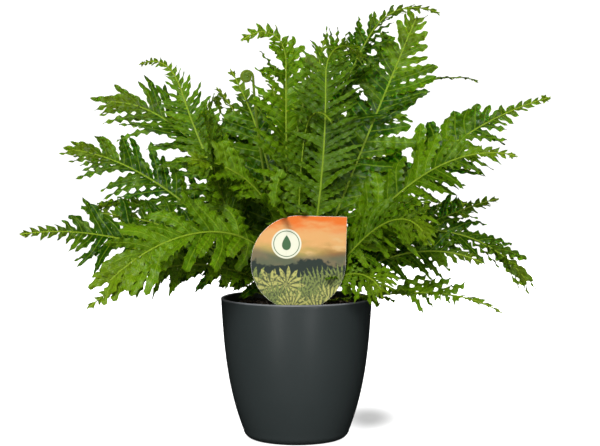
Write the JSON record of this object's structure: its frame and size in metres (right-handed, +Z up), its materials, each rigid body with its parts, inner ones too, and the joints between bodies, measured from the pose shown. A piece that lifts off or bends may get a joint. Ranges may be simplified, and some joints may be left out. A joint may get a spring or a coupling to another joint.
{
  "type": "potted silver lady fern",
  "caption": "Silver lady fern with arching feathery fronds growing from a short crown in a tapered dark pot, with a plant label card in the soil.",
  "frame": {"origin": "middle of the pot's flat base, where it stands", "axes": "+Z up along the pot's axis, the plant's front faces -Y, +X to the right seen from the front"},
  "size_m": [0.5479, 0.4234, 0.4607],
  "materials": {
    "pot": "smooth matt anthracite plastic with a soft highlight",
    "soil": "damp dark peat and bark potting soil",
    "crown": "brown papery scales on a short fibrous stem",
    "label": "thin printed card, warm sky over dark hills, coated",
    "leaf": "fresh green fern leaf, soft satin upper side, paler under side, yellow green rib",
    "young_leaf": "pale young shoot with brown scales"
  },
  "bodies": {
    "root": {"pot": "pot", "soil": "soil", "crown": "crown", "plant_label": "label", "crozier_left": "young_leaf", "crozier_right": "young_leaf", "frond_left_broad": "leaf", "frond_front_right": "leaf", "frond_right_tall": "leaf", "frond_centre_tall": "leaf", "frond_left_arch": "leaf", "frond_left_upper": "leaf", "frond_left_middle": "leaf", "frond_left_reach": "leaf", "frond_right_long": "leaf", "frond_right_middle": "leaf", "frond_right_low_long": "leaf", "frond_centre_left": "leaf", "frond_right_back_tall": "leaf", "frond_left_nod": "leaf", "frond_front_left": "leaf", "frond_right_lowest": "leaf", "frond_right_narrow": "leaf", "frond_left_low": "leaf", "frond_left_inner": "leaf", "frond_centre_back": "leaf", "frond_centre_front": "leaf", "frond_front_right_nod": "leaf", "frond_right_low_middle": "leaf", "frond_right_shade": "leaf", "frond_left_shade": "leaf", "frond_back_left": "leaf", "frond_back_middle": "leaf", "frond_back_right": "leaf", "frond_back_left_tall": "leaf", "frond_back_tall": "leaf", "frond_back_right_tall": "leaf", "frond_back_left_low": "leaf", "frond_back_right_low": "leaf", "frond_back_low": "leaf"}
  },
  "joints": []
}
